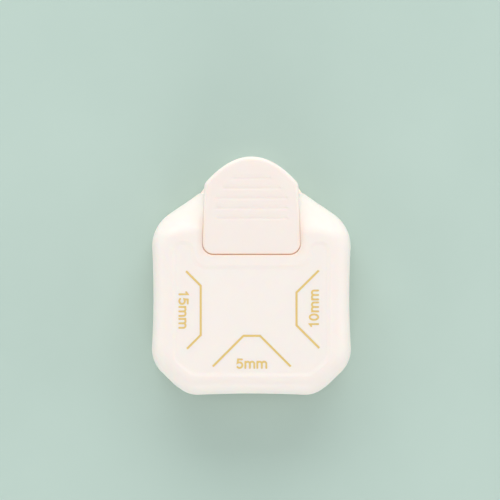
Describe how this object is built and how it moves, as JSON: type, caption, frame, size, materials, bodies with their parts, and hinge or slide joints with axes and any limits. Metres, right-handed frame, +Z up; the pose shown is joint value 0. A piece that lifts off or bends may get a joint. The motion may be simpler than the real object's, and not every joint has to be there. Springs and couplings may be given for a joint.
{
  "type": "corner rounder",
  "caption": "Palm-sized paper corner rounder with a thumb lever at the rear, a flat top with corner-size marks, and a paper slot on its left, right and front side.",
  "frame": {"origin": "centre of the underside, on the surface it stands on, midway along its length and width", "axes": "+Z is up, +Y points to the rear where the thumb lever is, +X is to the right seen from the front slot with the lever at the back"},
  "size_m": [0.0852, 0.1026, 0.0472],
  "materials": {
    "base_plate": "fine matt cream ABS",
    "lower_body": "satin cream ABS",
    "upper_cover": "satin cream ABS",
    "lever": "satin cream ABS",
    "chip_door": "satin cream ABS",
    "paper_guide": "natural white POM",
    "inner_frame": "natural white POM",
    "punch_carrier": "natural white POM",
    "die_plate": "stamped steel, ground top",
    "stripper_plate": "stamped steel",
    "punch_r15": "hardened steel, ground",
    "punch_r10": "hardened steel, ground",
    "punch_r5": "hardened steel, ground",
    "guide_post_front": "ground steel",
    "guide_post_rear": "ground steel",
    "return_spring_front": "spring wire",
    "return_spring_rear": "spring wire",
    "lever_pin": "ground steel",
    "pin_ring": "spring steel",
    "punch_screw_r15": "zinc plated",
    "punch_screw_r10": "zinc plated",
    "punch_screw_r5": "zinc plated",
    "case_screw_front_left": "zinc plated",
    "case_screw_front_right": "zinc plated",
    "case_screw_rear_left": "zinc plated",
    "case_screw_rear_right": "zinc plated",
    "plate_screw_front_left": "zinc plated",
    "plate_screw_front_right": "zinc plated",
    "plate_screw_rear_left": "zinc plated",
    "plate_screw_rear_right": "zinc plated"
  },
  "bodies": {
    "body": {"lower_body": "lower_body", "upper_cover": "upper_cover", "base_plate": "base_plate", "die_plate": "die_plate", "paper_guide": "paper_guide", "stripper_plate": "stripper_plate", "inner_frame": "inner_frame", "guide_post_front": "guide_post_front", "guide_post_rear": "guide_post_rear", "return_spring_front": "return_spring_front", "return_spring_rear": "return_spring_rear", "lever_pin": "lever_pin", "pin_ring": "pin_ring", "case_screw_front_left": "case_screw_front_left", "case_screw_front_right": "case_screw_front_right", "case_screw_rear_left": "case_screw_rear_left", "case_screw_rear_right": "case_screw_rear_right", "plate_screw_front_left": "plate_screw_front_left", "plate_screw_front_right": "plate_screw_front_right", "plate_screw_rear_left": "plate_screw_rear_left", "plate_screw_rear_right": "plate_screw_rear_right"},
    "lever": {"lever": "lever"},
    "carrier": {"punch_carrier": "punch_carrier", "punch_r15": "punch_r15", "punch_r10": "punch_r10", "punch_r5": "punch_r5", "punch_screw_r15": "punch_screw_r15", "punch_screw_r10": "punch_screw_r10", "punch_screw_r5": "punch_screw_r5"},
    "door": {"chip_door": "chip_door"}
  },
  "joints": [
    {"name": "lever_press", "type": "hinge", "parent": "body", "child": "lever", "pos_m": [0, -0.038, 0.031], "axis": [-1, 0, 0], "range_deg": [0, 10.75]},
    {"name": "carrier_slide", "type": "slide", "parent": "body", "child": "carrier", "axis": [0, 0, -1], "range_m": [0, 0.0045], "stiffness_N_per_m": 1500, "springref_m": -0.004, "deforming": ["return_spring_front", "return_spring_rear"]},
    {"name": "door_slide", "type": "slide", "parent": "body", "child": "door", "axis": [0, -1, 0], "range_m": [0, 0.045]}
  ],
  "couplings": [
    {"joint": "lever_press", "follows": "carrier_slide", "rad_per_m": 41.667}
  ]
}
